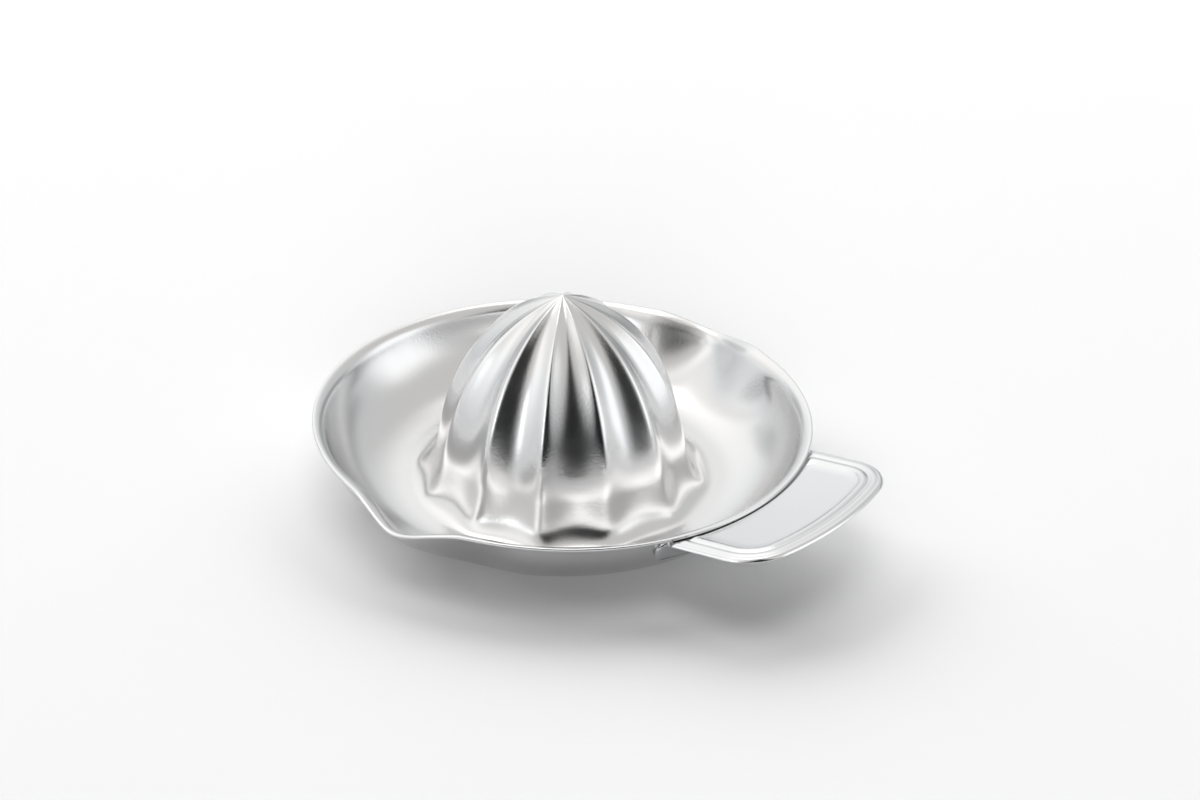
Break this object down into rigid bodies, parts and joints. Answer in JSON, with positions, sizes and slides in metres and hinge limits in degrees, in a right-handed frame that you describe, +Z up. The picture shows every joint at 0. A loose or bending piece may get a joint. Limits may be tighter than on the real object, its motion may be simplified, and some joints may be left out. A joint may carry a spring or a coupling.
{
  "type": "hand citrus juicer",
  "caption": "Shallow stainless dish with a fluted dome reamer drawn up from its floor, pouring spouts pinched into the rim and a pressed tab handle.",
  "frame": {"origin": "middle of the footprint in plan, on the surface that the dish stands on", "axes": "+X towards the handle, +Z up, spouts on +Y and -Y"},
  "size_m": [0.1682, 0.1454, 0.059],
  "materials": {
    "body_steel": "satin polished stainless sheet",
    "handle_steel": "satin polished stainless sheet",
    "weld_steel": "dull spot weld"
  },
  "bodies": {
    "root": {"juicer_body": "body_steel", "handle": "handle_steel", "weld_spot_1": "weld_steel", "weld_spot_2": "weld_steel", "weld_spot_3": "weld_steel", "weld_spot_4": "weld_steel"}
  },
  "joints": []
}
